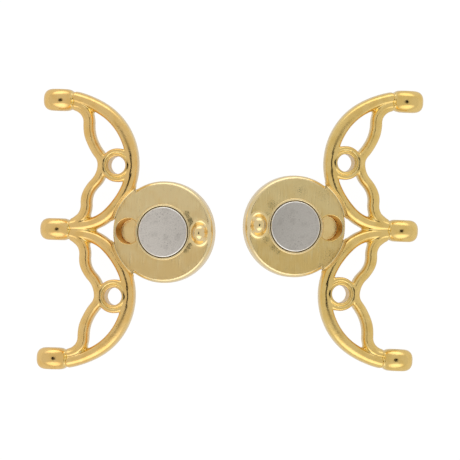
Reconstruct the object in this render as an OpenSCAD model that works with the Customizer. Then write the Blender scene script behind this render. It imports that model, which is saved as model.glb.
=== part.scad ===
// Three-strand magnetic clasp: two equal cast halves, lying apart with their magnets facing up.
// Millimetres. +Z is up, +X runs from the left half to the right half, the table is at Z = 0.
// A casting is drawn in a frame of its own: the mating face is the plane Z = 0, the middle of the
// magnet is the origin, and the wing points along -X. The sizes of the wing are shares of the
// distance between two eyelets.

/* [Button] */
// Diameter of the round button
button_d = 12; // [11.6:0.1:12.6]
// Radius of the rounded edge of the mating face
face_edge_r = 0.55; // [0.4:0.05:0.7]
// Depth below the mating face to which the wall of the button is upright
wall_depth = 1.5; // [1.3:0.1:1.7]
// Radius of the rounded edge of the back
back_edge_r = 1.8; // [1.6:0.1:2]
// Radius of the domed back
back_dome_r = 9; // [8.5:0.5:10]

/* [Magnet] */
// Diameter of the magnet
magnet_d = 6; // [5.6:0.1:6]
// Thickness of the magnet
magnet_h = 2; // [1.5:0.1:2.4]
// Width of the bevel round the edges of the magnet
magnet_bevel = 0.14; // [0.05:0.01:0.3]
// Gap between the magnet and its pocket, filled with glue on the real clasp
glue_gap = 0.06; // [0.04:0.01:0.08]
// Width of the raised collar round the pocket
collar_w = 0.34; // [0.26:0.02:0.38]
// Height of the collar over the mating face
collar_h = 0.1; // [0.06:0.01:0.14]

/* [Boss and recess] */
// Distance from the middle of the button to the middle of the recess
recess_reach = 4.24; // [4.16:0.02:4.26]
// Radius of the round side of the recess
recess_r = 1.52; // [1.4:0.02:1.54]
// Depth of the recess
recess_depth = 1.9; // [1.7:0.1:2.2]
// Gap between a boss and the recess that it enters
boss_gap = 0.1; // [0.06:0.01:0.16]
// Height of the boss over the mating face
boss_h = 1.6; // [1.2:0.1:1.6]
// Radius of the rounded top edge of the boss
boss_edge_r = 0.4; // [0.2:0.05:0.5]

/* [Wing] */
// Distance between neighbouring eyelets, as a share of the diameter of the button
pitch_share = 1.275; // [1.25:0.005:1.32]
// Thickness of the strands of the wing
wing_h = 2.4; // [2.2:0.1:2.5]
// Width of the two outer strands
outer_w = 1.42; // [1.3:0.02:1.5]
// Width of the two wavy strands
wavy_w = 1.06; // [1:0.02:1.16]
// Radius of the rounded edges of the strands
strand_edge_r = 0.44; // [0.3:0.02:0.48]
// Gap between the wing and the edge of the other half's button when the clasp is closed
cradle_gap = 0.16; // [0.1:0.01:0.2]

/* [Rings] */
// Outer diameter of a ring
ring_d = 3.98; // [3.8:0.02:4.1]
// Diameter of the hole in a ring
ring_hole_d = 2.06; // [1.8:0.02:2.2]
// Thickness of a ring at its two beads
ring_h = 2.6; // [2.56:0.02:2.8]
// Depth of the groove between the two beads
ring_groove = 0.2; // [0.1:0.02:0.22]

/* [Eyelets] */
// Outer diameter of an eyelet
eyelet_d = 3.9; // [3.8:0.1:4.1]
// Width of an eyelet, across the wing
eyelet_w = 2.5; // [2.4:0.1:2.6]
// Diameter of the hole through an eyelet
eyelet_hole_d = 1.6; // [1.3:0.1:1.8]

/* [How the halves lie] */
// Distance between the middles of the two buttons, along X
halves_apart = 15.66; // [14:0.02:20]
// Distance between the middles of the two buttons, along Y
halves_shift = 0.66; // [0:0.02:2]
// Turn of the left half about the vertical, clockwise
left_turn = 1.6; // [-6:0.1:6]
// Turn of the right half about the vertical, clockwise
right_turn = 2.4; // [-6:0.1:6]

/* [Hidden] */
$fn = 64;

button_r = button_d / 2;
strand_pitch = pitch_share * button_d;
dome_reach = back_dome_r - back_edge_r;
dome_z = sqrt(dome_reach ^ 2 - (button_r - back_edge_r) ^ 2) - wall_depth;
dome_angle = asin((button_r - back_edge_r) / dome_reach);
button_h = back_dome_r - dome_z;
magnet_r = magnet_d / 2;
pocket_r = magnet_r + glue_gap;
pocket_depth = magnet_h + glue_gap;
collar_r = pocket_r + collar_w;
web_w = 0.12;
recess_inner_r = collar_r + web_w;
boss_r = recess_r - boss_gap;
boss_reach = recess_reach - boss_gap;
boss_inner_r = recess_inner_r + boss_gap;
cradle_r = button_r + cradle_gap;
ring_r = ring_d / 2;
ring_hole_r = ring_hole_d / 2;
eyelet_r = eyelet_d / 2;
eyelet_crown_r = eyelet_w / 2;
eyelet_core_r = eyelet_r - eyelet_crown_r;
overlap = 1;

// The land is the part of the face that runs out flat to the wing: how far it stays inside the
// button's wall, and where it starts, as a share of the button's radius
land_inset = 0.06;
land_share = 0.57;

// Where the eyelets and the rings are, as shares of the distance between two eyelets
wing_reach = 0.843 * strand_pitch;
ring_reach = 0.363 * strand_pitch;
ring_side = 0.506 * strand_pitch;

// Each strand starts at an end eyelet and is a chain of arcs that run into each other smoothly.
// Start columns: reach and side as shares of strand_pitch, heading in degrees.
// Arc columns: radius as a share of strand_pitch, angle in degrees, clockwise below zero.
OUTER_START = [-0.758, 1.0255, -8.25];
OUTER_ARCS = [
    [0.718, -23.0],
    [0.479, -25.5],
    [0.511, -29.5],
    [0.458, -32.0],
    [0.664, -18.0],
    [0.316, -32.5],
    [0.810, -11.5]];
WAVY_START = [-0.7475, 0.9638, 5.4];
WAVY_ARCS = [
    [0.134, -97.0],
    [0.354, 42.0],
    [0.126, -42.5],
    [0.211, -42.5],
    [0.204, 49.0],
    [0.150, -91.5]];
// Every second arc is slimmer by a hair on each side and reaches a little way into its neighbours,
// so that no two arcs only touch
hair = 0.01;
reach_in = 1;
// Facets in each rounded edge of a strand
edge_steps = 2;

// A half rests on the domed back of its button and on its eyelets, and this is its tilt
rest_tilt = asin((back_dome_r - eyelet_r) / norm([wing_reach, dome_z])) - atan2(dome_z, wing_reach);
rest_height = wing_reach * sin(rest_tilt) + eyelet_r;

// The middle of the eyelets of the two halves lies on the Z axis
function turned(p, a) = [p.x * cos(a) - p.y * sin(a), p.x * sin(a) + p.y * cos(a)];
function eyelet_spots(turn, middle) =
    [for (side = [-1, 0, 1]) middle + turned([-wing_reach * cos(rest_tilt), side * strand_pitch], turn)];
left_middle = [-halves_apart / 2, -halves_shift / 2];
right_middle = [halves_apart / 2, halves_shift / 2];
spots = concat(eyelet_spots(-left_turn, left_middle), eyelet_spots(180 - right_turn, right_middle));
spots_x = [for (p = spots) p.x];
spots_y = [for (p = spots) p.y];
clasp_middle = [(min(spots_x) + max(spots_x)) / 2, (min(spots_y) + max(spots_y)) / 2];

// A place on a strand is [x, y, heading]. These give the centre of the arc that starts there, the
// place where the arc ends, and the place where arc number i starts.
function arc_centre(p, r, a) = [p.x - sign(a) * r * sin(p.z), p.y + sign(a) * r * cos(p.z)];
function arc_end(p, r, a) =
    let (c = arc_centre(p, r, a), heading = p.z + a)
        [c.x + sign(a) * r * sin(heading), c.y - sign(a) * r * cos(heading), heading];
function arc_start(start, arcs, i) =
    i == 0 ? start : arc_end(arc_start(start, arcs, i - 1), arcs[i - 1][0] * strand_pitch, arcs[i - 1][1]);

// The section of a strand: upright walls between rounded edges
module strand_section(width, height) {
    core_x = width / 2 - strand_edge_r;
    core_y = height / 2 - strand_edge_r;
    corners = [[1, 1, 0], [-1, 1, 90], [-1, -1, 180], [1, -1, 270]];
    polygon([for (q = corners, k = [0 : edge_steps])
        let (a = q.z + 90 * k / edge_steps)
            [q.x * core_x + strand_edge_r * cos(a), q.y * core_y + strand_edge_r * sin(a)]]);
}

module strand(start, arcs, width) {
    first = [start.x * strand_pitch, start.y * strand_pitch, start.z];
    for (i = [0 : len(arcs) - 1]) {
        slim = i % 2;
        p = arc_start(first, arcs, i);
        r = arcs[i][0] * strand_pitch;
        a = arcs[i][1];
        turn = a > 0 ? p.z - 90 : p.z + 90 + a;
        translate(arc_centre(p, r, a))
            rotate([0, 0, turn - slim * reach_in])
                rotate_extrude(angle = abs(a) + 2 * slim * reach_in)
                    translate([r, 0])
                        strand_section(width - 2 * slim * hair, wing_h - 2 * slim * hair);
    }
}

// Both sides of the wing
module both_sides() {
    children();
    mirror([0, 1, 0]) children();
}

module strands() {
    both_sides() {
        strand(OUTER_START, OUTER_ARCS, outer_w);
        strand(WAVY_START, WAVY_ARCS, wavy_w);
    }
}

// A ring of the wing: two round beads with a groove between them, above and below
module ring() {
    bead_r = (ring_r - ring_hole_r) / 4;
    wall = ring_h / 2 - bead_r;
    translate([-ring_reach, ring_side, 0])
        rotate_extrude() {
            translate([ring_hole_r, ring_groove - ring_h / 2])
                square([ring_r - ring_hole_r, ring_h - 2 * ring_groove]);
            for (x = [ring_hole_r + bead_r, ring_r - bead_r], side = [1, -1])
                translate([x, side * wall])
                    circle(bead_r);
        }
}

module ring_holes() {
    both_sides()
        translate([-ring_reach, ring_side, -ring_h])
            cylinder(r = ring_hole_r, h = 2 * ring_h);
}

// The eyelets: round beads that stand on edge, with the hole across the wing
module eyelet_places() {
    for (side = [-1, 0, 1])
        translate([-wing_reach, side * strand_pitch, 0])
            rotate([90, 0, 0])
                children();
}

module eyelets() {
    eyelet_places()
        rotate_extrude()
            intersection() {
                translate([eyelet_core_r, 0])
                    circle(eyelet_crown_r);
                translate([0, -eyelet_w])
                    square([eyelet_r + overlap, 2 * eyelet_w]);
            }
}

module eyelet_holes() {
    eyelet_places()
        cylinder(d = eyelet_hole_d, h = eyelet_w + 2 * overlap, center = true);
}

// A quarter of a disc, for a rounded edge
module edge_round(x, z, r) {
    translate([x, z])
        intersection() {
            circle(r);
            square(r);
        }
}

// Points on an arc in a profile
function profile_arc(x, z, r, from, to, steps) =
    [for (k = [0 : steps]) let (a = from + (to - from) * k / steps) [x + r * cos(a), z + r * sin(a)]];

// The button: a flat face with a rounded edge, an upright wall, a rounded edge and a domed back
module button() {
    rotate_extrude()
        polygon(concat(
            [[0, -button_h], [0, 0]],
            profile_arc(button_r - face_edge_r, -face_edge_r, face_edge_r, 90, 0, 4),
            profile_arc(button_r - back_edge_r, -wall_depth, back_edge_r, 0, dome_angle - 90, 5),
            [for (k = [4 : -1 : 1])
                let (a = dome_angle * k / 5)
                    [back_dome_r * sin(a), dome_z - back_dome_r * cos(a)]]));
}

// The land, the seat of the other half's button
module land() {
    intersection() {
        translate([0, 0, -wing_h / 2])
            cylinder(r = button_r - land_inset, h = wing_h / 2);
        translate([-button_d - land_share * button_r, -button_r, -wing_h])
            cube([button_d, button_d, 2 * wing_h]);
    }
}

// The room for the other half's button, between the arms of the wing
module cradle() {
    cylinder(r = cradle_r, h = wing_h);
}

module collar() {
    rotate_extrude()
        translate([pocket_r + collar_w / 2, 0])
            intersection() {
                translate([-collar_w / 2, -collar_h])
                    square([collar_w, 2 * collar_h]);
                translate([0, collar_h - collar_w])
                    circle(collar_w);
            }
}

// The boss is a round peg with its inner side cut round the collar
module boss() {
    intersection() {
        translate([boss_reach, 0, -face_edge_r])
            rotate_extrude() {
                square([boss_r, face_edge_r + boss_h - boss_edge_r]);
                square([boss_r - boss_edge_r, face_edge_r + boss_h]);
                edge_round(boss_r - boss_edge_r, face_edge_r + boss_h - boss_edge_r, boss_edge_r);
            }
        translate([0, 0, -button_h])
            rotate_extrude() {
                translate([boss_inner_r, 0])
                    square([button_r, button_h + boss_h - boss_edge_r]);
                translate([boss_inner_r + boss_edge_r, 0])
                    square([button_r, button_h + boss_h + overlap]);
                translate([boss_inner_r + boss_edge_r, button_h + boss_h - boss_edge_r])
                    circle(boss_edge_r);
            }
    }
}

// The recess has the same outline as the boss, a little larger
module recess() {
    translate([0, 0, -recess_depth])
        difference() {
            translate([-recess_reach, 0, 0])
                cylinder(r = recess_r, h = recess_depth + overlap);
            translate([0, 0, -overlap])
                cylinder(r = recess_inner_r, h = recess_depth + 3 * overlap);
        }
}

module pocket() {
    translate([0, 0, -pocket_depth])
        cylinder(r = pocket_r, h = pocket_depth + overlap);
}

module casting() {
    difference() {
        union() {
            difference() {
                union() {
                    strands();
                    both_sides() ring();
                    button();
                    land();
                }
                cradle();
            }
            eyelets();
            collar();
            boss();
        }
        pocket();
        recess();
        ring_holes();
        eyelet_holes();
    }
}

module magnet() {
    flat_r = magnet_r - magnet_bevel;
    translate([0, 0, -magnet_h])
        rotate_extrude()
            polygon([[0, 0], [flat_r, 0], [magnet_r, magnet_bevel], [magnet_r, magnet_h - magnet_bevel],
                [flat_r, magnet_h], [0, magnet_h]]);
}

// A half as it rests on the table, wing down
module lay(middle, turn) {
    translate([middle.x - clasp_middle.x, middle.y - clasp_middle.y, rest_height])
        rotate([0, 0, turn])
            rotate([0, -rest_tilt, 0])
                children();
}

module left_casting() {
    color("goldenrod")
        lay(left_middle, -left_turn) casting();
}

module left_magnet() {
    color("darkgray")
        lay(left_middle, -left_turn) magnet();
}

module right_casting() {
    color("goldenrod")
        lay(right_middle, 180 - right_turn) casting();
}

module right_magnet() {
    color("darkgray")
        lay(right_middle, 180 - right_turn) magnet();
}

left_casting();
left_magnet();
right_casting();
right_magnet();
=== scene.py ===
"""Looks of a three-strand magnetic clasp: two equal cast halves that lie apart, magnets up.

Each half is worked out in a frame of its own, in millimetres: the mating face is the plane z = 0,
the middle of the magnet is the origin and the wing points along -x. The casting is a solid given by
a signed distance (below zero inside, above zero outside), which is meshed once and laid twice.
"""

import logging
import math
from dataclasses import dataclass
from enum import Enum

import bpy
import numpy as np
from mathutils import Matrix, Vector

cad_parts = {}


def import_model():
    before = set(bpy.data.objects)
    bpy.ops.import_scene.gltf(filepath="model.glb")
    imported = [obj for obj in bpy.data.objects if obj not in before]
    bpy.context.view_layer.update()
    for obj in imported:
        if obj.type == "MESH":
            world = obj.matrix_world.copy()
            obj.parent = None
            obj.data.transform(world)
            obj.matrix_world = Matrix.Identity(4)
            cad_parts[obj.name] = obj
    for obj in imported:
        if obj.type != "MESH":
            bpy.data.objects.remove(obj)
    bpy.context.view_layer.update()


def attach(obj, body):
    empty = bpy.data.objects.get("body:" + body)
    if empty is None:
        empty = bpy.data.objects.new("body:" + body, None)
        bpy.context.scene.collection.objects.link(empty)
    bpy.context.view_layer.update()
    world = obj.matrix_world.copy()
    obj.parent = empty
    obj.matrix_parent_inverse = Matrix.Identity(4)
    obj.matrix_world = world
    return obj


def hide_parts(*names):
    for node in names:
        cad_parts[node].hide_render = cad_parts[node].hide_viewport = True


LOG = logging.getLogger("clasp")
MM = 0.001
PITCH = 15.3

Colour = tuple[float, float, float, float]
Triple = tuple[float, float, float]


class Side(Enum):
    """The two halves of the clasp."""

    LEFT = "left"
    RIGHT = "right"


# Arithmetic on distances


def soft_min(a: np.ndarray, b: np.ndarray, k: np.ndarray | float) -> np.ndarray:
    """The smaller of two distances, with a fillet about k wide where they are equal."""
    h = np.maximum(k - np.abs(a - b), 0.0) / k
    return np.minimum(a, b) - h * h * k * 0.25


def soft_max(a: np.ndarray, b: np.ndarray, k: np.ndarray | float) -> np.ndarray:
    """The larger of two distances, with a rounding about k wide where they are equal."""
    return -soft_min(-a, -b, k)


def ramp(value: np.ndarray, low: float, high: float) -> np.ndarray:
    """0 at low, 1 at high and smooth between. High below low turns it round."""
    t = np.clip((value - low) / (high - low), 0.0, 1.0)
    return t * t * (3 - 2 * t)


def full_round(a: np.ndarray, b: np.ndarray, power: np.ndarray | float) -> np.ndarray:
    """Like hypot where the power is 2; above it the round is flatter on top and fuller at its shoulders."""
    return (np.abs(a) ** power + np.abs(b) ** power) ** (1.0 / power)


# Nodes


class Value:
    """An output of a node, with the usual signs for arithmetic."""

    def __init__(self, graph: "Graph", socket: bpy.types.NodeSocket) -> None:
        """Wraps an output."""
        self.graph, self.socket = graph, socket

    def maths(self, operation: str, *others: "Value | float") -> "Value":
        """One Math node with this value first."""
        return self.graph.node("ShaderNodeMath", dict(enumerate((self, *others))), operation=operation)

    def after(self, operation: str, other: float) -> "Value":
        """One Math node with a number first and this value second."""
        return self.graph.node("ShaderNodeMath", {0: other, 1: self}, operation=operation)

    def __add__(self, other: "Value | float") -> "Value":
        """Sum."""
        return self.maths("ADD", other)

    def __radd__(self, other: float) -> "Value":
        """Sum with a number in front."""
        return self.after("ADD", other)

    def __sub__(self, other: "Value | float") -> "Value":
        """Difference."""
        return self.maths("SUBTRACT", other)

    def __rsub__(self, other: float) -> "Value":
        """Difference from a number."""
        return self.after("SUBTRACT", other)

    def __mul__(self, other: "Value | float") -> "Value":
        """Product."""
        return self.maths("MULTIPLY", other)

    def __rmul__(self, other: float) -> "Value":
        """Product with a number in front."""
        return self.after("MULTIPLY", other)

    def __truediv__(self, other: "Value | float") -> "Value":
        """Quotient."""
        return self.maths("DIVIDE", other)

    def __rtruediv__(self, other: float) -> "Value":
        """A number divided by it."""
        return self.after("DIVIDE", other)

    def absolute(self) -> "Value":
        """Its size without its sign."""
        return self.maths("ABSOLUTE")

    def root(self) -> "Value":
        """Its square root."""
        return self.maths("SQRT")

    def larger(self, other: "Value | float") -> "Value":
        """The larger of the two."""
        return self.maths("MAXIMUM", other)

    def step_up(self, low: float, high: float) -> "Value":
        """A smooth step. High below low turns it round.

        Args:
            low: where it is still 0.
            high: where it has come to 1.

        Returns:
            The step, from 0 to 1.
        """
        flip = high < low
        ends = (high, low) if flip else (low, high)
        out = (1.0, 0.0) if flip else (0.0, 1.0)
        return self.graph.node(
            "ShaderNodeMapRange", {"Value": self, 1: ends[0], 2: ends[1], 3: out[0], 4: out[1]},
            interpolation_type="SMOOTHSTEP")


class Graph:
    """A tree of nodes: a material's, the world's or one of Geometry Nodes."""

    def __init__(self, tree: bpy.types.NodeTree) -> None:
        """Takes the tree."""
        self.tree = tree

    def put(self, socket: bpy.types.NodeSocket, value: "Value | Colour | Triple | float") -> None:
        """Sets an input, or links a value to it.

        Args:
            socket: the input.
            value: what it gets.
        """
        if isinstance(value, Value):
            self.tree.links.new(value.socket, socket)
        else:
            socket.default_value = value

    def node(self, kind: str, inputs: dict, output: int | str = 0, **settings: str) -> Value:
        """Makes a node.

        Args:
            kind: the node's type.
            inputs: values or links by the name or number of the input.
            output: name or number of the output that is wanted.
            settings: the node's own settings, which are set first.

        Returns:
            The wanted output.
        """
        made = self.tree.nodes.new(kind)
        for key, value in settings.items():
            setattr(made, key, value)
        for key, value in inputs.items():
            self.put(made.inputs[key], value)
        return Value(self, made.outputs[output])

    def beside(self, value: Value, output: int | str) -> Value:
        """Another output of the node that a value comes from."""
        return Value(self, value.socket.node.outputs[output])


class MaterialGraph(Graph):
    """The nodes of one metal's material."""

    def __init__(self, name: str) -> None:
        """Makes the material, with one Principled shader.

        Args:
            name: the material's name.
        """
        self.material = bpy.data.materials.new(name)
        self.material.use_nodes = True
        super().__init__(self.material.node_tree)
        self.shader = next(n for n in self.tree.nodes if n.type == "BSDF_PRINCIPLED")

    def mark(self, name: str) -> Value:
        """A mark that the piece's vertices carry, from 0 to 1."""
        return self.node("ShaderNodeAttribute", {}, "Fac", attribute_name=name)

    def own(self) -> tuple[Value, Value, Value, Value]:
        """The place in the half's own frame, in millimetres.

        Returns:
            The place as a vector, and its x, y and z.
        """
        vector = self.node("ShaderNodeAttribute", {}, "Vector", attribute_name="own_mm")
        x = self.node("ShaderNodeSeparateXYZ", {0: vector})
        return vector, x, self.beside(x, 1), self.beside(x, 2)

    def moved(self, vector: Value, scale: Triple, shift: Triple) -> Value:
        """A place stretched by a scale for each axis and shifted."""
        return self.node("ShaderNodeMapping", {"Vector": vector, "Scale": scale, "Location": shift})

    def noise(self, vector: Value, scale: Triple, detail: float, seed: float) -> Value:
        """Smooth noise from 0 to 1, stretched by a scale for each axis."""
        place = self.moved(vector, scale, (seed, seed, seed))
        return self.node("ShaderNodeTexNoise", {"Vector": place, "Scale": 1.0, "Detail": detail}, "Fac")

    def scatter(self, vector: Value, crowd: Value, layers: tuple[tuple[float, float], ...]) -> Value:
        """Small round specks in the plane of the face, each of a size of its own.

        Args:
            vector: the place.
            crowd: how close together they lie, from 0 to 1.
            layers: rows of specks for each millimetre and a seed.

        Returns:
            1 in a speck and 0 beside it.
        """
        dark = crowd * 0.04
        for scale, seed in layers:
            place = self.moved(vector, (scale, scale, 0.0), (seed, seed, 0.0))
            away = self.node(
                "ShaderNodeTexVoronoi", {"Vector": place, "Scale": 1.0}, "Distance", voronoi_dimensions="2D")
            chance = self.node("ShaderNodeSeparateXYZ", {0: self.beside(away, "Color")})
            spot = crowd * 0.6 - chance * 0.45 - away
            dark = dark.larger(spot.step_up(-0.06, 0.08))
        return dark

    def blend(self, share: Value, low: "Value | Colour", high: "Value | Colour") -> Value:
        """A colour between two.

        Args:
            share: how much of the second, from 0 to 1.
            low: the first colour.
            high: the second colour.

        Returns:
            The colour.
        """
        return self.node("ShaderNodeMix", {0: share, 6: low, 7: high}, 2, data_type="RGBA")

    def bump(self, height: Value, strength: float, distance: float) -> Value:
        """A bumped normal. The distance is in metres."""
        return self.node(
            "ShaderNodeBump", {"Height": height, "Strength": strength, "Distance": distance}, "Normal")

    def metal(self, colour: Value, roughness: Value, normal: Value) -> bpy.types.Material:
        """Feeds the shader as bare metal.

        Args:
            colour: the colour of the metal.
            roughness: how rough it is, from 0 to 1.
            normal: its bumped normal.

        Returns:
            The material.
        """
        for label, value in (
                ("Base Color", colour), ("Roughness", roughness), ("Normal", normal), ("Metallic", 1.0)):
            self.put(self.shader.inputs[label], value)
        return self.material


# Finishes


@dataclass(frozen=True)
class PolishedGold:
    """Polished gold plating over a cast skin that is a little uneven, with painted light and painted shade in
    its colour.

    Attributes:
        name: the material's name.
        tint: colour of the arms.
        deep: their colour where the plating is warmer.
        pale: painted reflection on the rim and the collar, a paler colour for the bright surroundings that
            they mirror, and painted light that in part lightens the recess's floor.
        wall: painted light, a paler colour on upright walls for the white table that they mirror, and in part
            on the boss.
        shade: painted shade, deep in the recess and in the rings' bores.
        bright: painted light in the hollows between the arms and at the boss's foot, a paler colour that
            lifts the orange which the arms mirror into one another.
        roughness: the middle of its roughness.
        boss_reach: where the patch round the boss, with its painted light, has its middle.
    """

    name: str
    tint: Colour
    deep: Colour
    pale: Colour = (0.95, 0.76, 0.42, 1.0)
    wall: Colour = (0.95, 0.78, 0.48, 1.0)
    shade: Colour = (0.74, 0.42, 0.09, 1.0)
    bright: Colour = (1.0, 0.78, 0.33, 1.0)
    roughness: float = 0.18
    boss_reach: float = 4.55

    def material(self, casting: "Casting") -> bpy.types.Material:
        """Makes the material.

        Args:
            casting: the casting, whose sizes say where each part of the finish lies.

        Returns:
            The material.
        """
        g = MaterialGraph(self.name)
        vector, x, y, z = g.own()
        upright, hollow = g.mark("upright"), g.mark("hollow").step_up(0.1, 0.6)
        radius, side_way = (x * x + y * y).root(), y.absolute()
        patches = g.noise(vector, (0.9, 0.9, 0.9), 2.0, 3.1)
        pores = g.noise(vector, (5.0, 5.0, 5.0), 3.0, 7.7)

        seat, wing, edge = casting.seat, casting.wing, casting.button.radius
        rim = radius.step_up(edge - 0.7, edge - 0.4) * radius.step_up(edge + 0.25, edge + 0.02)
        deep = seat.recess_depth
        floor = radius.step_up(edge + 0.1, edge - 0.1) * z.step_up(0.2 - deep, 0.1 - deep)
        collar = radius.step_up(seat.collar_radius + 0.09, seat.collar_radius + 0.01)
        boss = (x - self.boss_reach).absolute().step_up(1.3, 1.1) * side_way.step_up(1.7, 1.5)
        recess = radius.step_up(edge - 0.1, edge - 0.15) * side_way.step_up(1.7, 1.6) * x.step_up(-2.0, -2.5)
        recess = recess * radius.step_up(seat.recess_inner - 0.04, seat.recess_inner + 0.01)
        shaft = recess * z.step_up(0.05 - deep, 0.1 - deep) * upright.step_up(0.3, 0.6)
        # painted shade in the recess, stronger towards its bottom
        depth = z.step_up(-0.2, -1.5) * 0.7 + 0.3
        ring_x, ring_y = x + wing.ring_reach, side_way - wing.ring_side
        bore = (ring_x * ring_x + ring_y * ring_y).step_up(1.6, 1.3) * upright.step_up(0.85, 0.95)
        walls = upright.step_up(0.75, 1.0).larger(upright.step_up(0.35, 0.75) * rim)
        face = radius.step_up(edge + 0.5, edge + 0.4) * z.absolute().step_up(0.08, 0.05)
        face = face * upright.step_up(0.06, 0.02)
        bend = side_way.step_up(8.4, 10.0) * side_way.step_up(13.2, 12.4)

        skin = g.blend(patches.step_up(0.35, 0.7), self.tint, self.deep)
        # painted light: hollows between the arms made paler
        skin = g.blend(hollow * radius.step_up(edge - 0.1, edge + 0.1), skin, self.bright)
        # painted reflection on the rim and the collar, and painted light on part of the recess's floor
        skin = g.blend(rim.larger(collar).larger(floor * 0.4), skin, self.pale)
        # painted light: upright walls paler for the white table that they mirror, and the boss paler too
        skin = g.blend(walls.larger(boss * 0.7), skin, self.wall)
        # painted light at the boss's foot
        skin = g.blend(boss * hollow, skin, self.bright)
        skin = g.blend(shaft, skin, self.tint)
        # painted shade on the recess's wall and in the rings' bores
        skin = g.blend((shaft * depth).larger(bore * 0.45), skin, self.shade)
        rough = patches * 0.1 + shaft * 0.2 + bend * 0.1 - boss * 0.06 + face * 0.16
        skin_bump = g.bump(patches * 0.7 + pores * 0.3, 0.35, 0.0001)
        return g.metal(skin, rough + (self.roughness - 0.05), skin_bump)


@dataclass(frozen=True)
class Stain:
    """A patch of dark specks on the mating face.

    Attributes:
        x: its place in the half's own frame.
        y: its place in the half's own frame.
        reach: how far it reaches.
        crowd: how close together its specks lie, from 0 to 1.
    """

    x: float
    y: float
    reach: float
    crowd: float


@dataclass(frozen=True)
class BrushedGold:
    """The mating face, brushed flat so that fine lines run across the clasp, its colour darker and deeper
    yellow towards the bottom of the scene.

    Attributes:
        name: the material's name.
        tint: colour of the plating.
        second_tone: its second colour, darker and deeper yellow, laid in random patches and more of it
            towards the bottom of the scene.
        stains: the patches of dark specks.
        grime: colour of the specks.
        roughness: the middle of its roughness.
        fade: how fast the second colour gives way along the scene's y, for each metre.
        pitting: how close together the stray specks lie at most, from 0 to 1.
        layers: rows of specks for each millimetre and a seed.
    """

    name: str
    tint: Colour
    second_tone: Colour
    stains: tuple[Stain, ...]
    grime: Colour = (0.2, 0.16, 0.07, 1.0)
    roughness: float = 0.3
    fade: float = 20.0
    pitting: float = 0.3
    layers: tuple[tuple[float, float], ...] = ((5.2, 6.4), (9.1, 8.1), (13.0, 2.3))

    def specks(self, g: MaterialGraph, vector: Value) -> Value:
        """The dark specks of the stains, and stray ones.

        Args:
            g: the material's nodes.
            vector: the place in the half's own frame.

        Returns:
            How dark it is there, from 0 to 1.
        """
        crowd = g.noise(vector, (0.8, 0.8, 0.8), 1.0, 6.2).step_up(0.45, 0.8) * self.pitting
        for stain in self.stains:
            place = (stain.x, stain.y, 0.0)
            away = g.node("ShaderNodeVectorMath", {0: vector, 1: place}, "Value", operation="DISTANCE")
            crowd = crowd.larger(away.step_up(stain.reach, stain.reach * 0.2) * stain.crowd)
        smear = crowd.step_up(0.3, 1.0) * 0.4
        return g.scatter(vector, crowd, self.layers).larger(smear)

    def material(self) -> bpy.types.Material:
        """Makes the material.

        Returns:
            The material.
        """
        g = MaterialGraph(self.name)
        vector = g.own()[0]
        fine = g.noise(vector, (11.0, 0.45, 1.0), 4.0, 2.0)
        broad = g.noise(vector, (2.2, 0.35, 1.0), 2.0, 5.0)
        patches = g.noise(vector, (0.55, 0.55, 0.55), 3.0, 9.0)
        grain = g.noise(vector, (9.0, 9.0, 9.0), 4.0, 3.0)
        lie = g.node("ShaderNodeSeparateXYZ", {0: g.node("ShaderNodeTexCoord", {}, "Object")}, "Y")
        # the second colour comes in random patches and grows towards the bottom of the scene, on both halves
        # alike
        share = patches * 0.4 + fine * 0.34 + broad * 0.1 + grain * 0.16 - lie * self.fade
        plating = g.blend(share.step_up(0.38, 0.62), self.tint, self.second_tone)
        colour = g.blend(self.specks(g, vector) * 0.9, plating, self.grime)
        rough = fine * 0.16 + broad * 0.1 + (self.roughness - 0.12)
        return g.metal(colour, rough, g.bump(fine * 0.55 + broad * 0.15 + grain * 0.3, 0.6, 0.00007))


@dataclass(frozen=True)
class MagnetGrey:
    """A plated magnet, matt, mottled and pitted, with a painted highlight round its edge.

    Attributes:
        name: the material's name.
        tint: its colour.
        pit: colour of its pits.
        edge: colour of the painted highlight round its edge.
        edge_width: how wide the painted highlight round its edge is.
        layers: rows of pits for each millimetre and a seed.
    """

    name: str
    tint: Colour
    pit: Colour = (0.36, 0.33, 0.29, 1.0)
    edge: Colour = (1.0, 0.98, 0.95, 1.0)
    edge_width: float = 0.14
    layers: tuple[tuple[float, float], ...] = ((3.1, 1.3), (6.3, 4.9))

    def material(self, radius: float) -> bpy.types.Material:
        """Makes the material.

        Args:
            radius: the magnet's radius.

        Returns:
            The material.
        """
        g = MaterialGraph(self.name)
        vector, x, y, _ = g.own()
        grain = g.noise(vector, (7.0, 7.0, 7.0), 5.0, 1.0)
        mottle = g.noise(vector, (1.3, 1.3, 1.3), 5.0, 3.0).step_up(0.5, 0.72)
        crowd = g.noise(vector, (0.7, 0.7, 0.7), 2.0, 6.0).step_up(0.3, 0.75) * 0.5 + 0.2
        pits = (g.scatter(vector, crowd, self.layers) * 0.5).larger((grain - 0.38) * 0.9 + mottle * 0.22)
        # painted highlight: a near-white ring round the magnet's edge
        start = radius - self.edge_width
        edge_glint = (x * x + y * y).root().step_up(start, start + 0.03)
        colour = g.blend(edge_glint, g.blend(pits, self.tint, self.pit), self.edge)
        return g.metal(colour, grain * 0.2 + 0.34, g.bump(grain - pits * 0.5, 0.4, 0.00003))


# the right half's gold is a little darker than the left's: painted shade for the dimmer light on that side
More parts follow.
